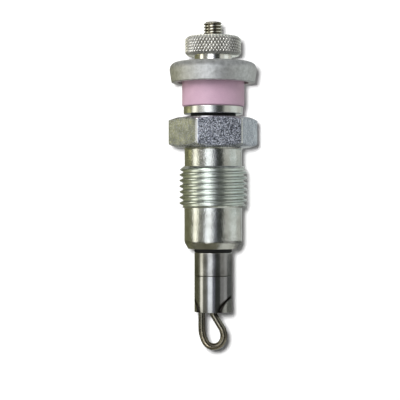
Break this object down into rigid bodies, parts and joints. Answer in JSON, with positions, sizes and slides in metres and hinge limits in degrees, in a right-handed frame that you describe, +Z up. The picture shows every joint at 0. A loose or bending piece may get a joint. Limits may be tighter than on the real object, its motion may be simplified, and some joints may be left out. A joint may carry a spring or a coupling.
{
  "type": "diesel glow plug",
  "caption": "Diesel glow plug: threaded steel body with a hexagon and sealing cone, insulated poles, an open heater wire loop at the tip and a thumb-nut terminal with cap and ceramic bush.",
  "frame": {"origin": "on the axis, at the lower end of the sealing cone, where the body's nose meets the lower insulating ring", "axes": "+Z up the axis from the heater loop to the terminal; -Y towards the viewer; the loop lies in the XZ plane"},
  "size_m": [0.0238, 0.0232, 0.0875],
  "materials": {
    "plated_body": "zinc plated, satin, with a grainy hexagon",
    "plated_ring": "zinc plated, bright turned",
    "dark_pole_steel": "turned, darkened",
    "bright_pole_steel": "turned, bright",
    "plated_stud": "nickel plated thread",
    "plated_nut": "nickel plated, knurled",
    "cap_alloy": "matt cast",
    "bush_ceramic": "fine matt, mauve",
    "tip_ceramic": "smooth, glazed grey",
    "black_insulation": "pressed, black",
    "inner_insulation": "wound mica",
    "heater_wire": "oxidised, tinted by heat"
  },
  "bodies": {
    "plug": {"plug_body": "plated_body", "body_insulating_sleeve": "inner_insulation", "lower_insulating_ring": "black_insulation", "upper_insulating_washer": "black_insulation", "outer_pole_tube": "dark_pole_steel", "outer_pole_tip": "bright_pole_steel", "outer_pole_ring": "plated_ring", "tip_insulator": "tip_ceramic", "heater_loop": "heater_wire", "centre_pole": "plated_stud", "centre_insulating_sleeve": "inner_insulation", "centre_insulating_washer": "inner_insulation", "centre_lock_nut": "plated_stud", "insulating_bush": "bush_ceramic", "terminal_cap": "cap_alloy"},
    "nut": {"thumb_nut": "plated_nut"}
  },
  "joints": [
    {"name": "nut_lift", "type": "slide", "parent": "plug", "child": "nut", "axis": [0, 0, 1], "range_m": [0, 0.0112]}
  ]
}
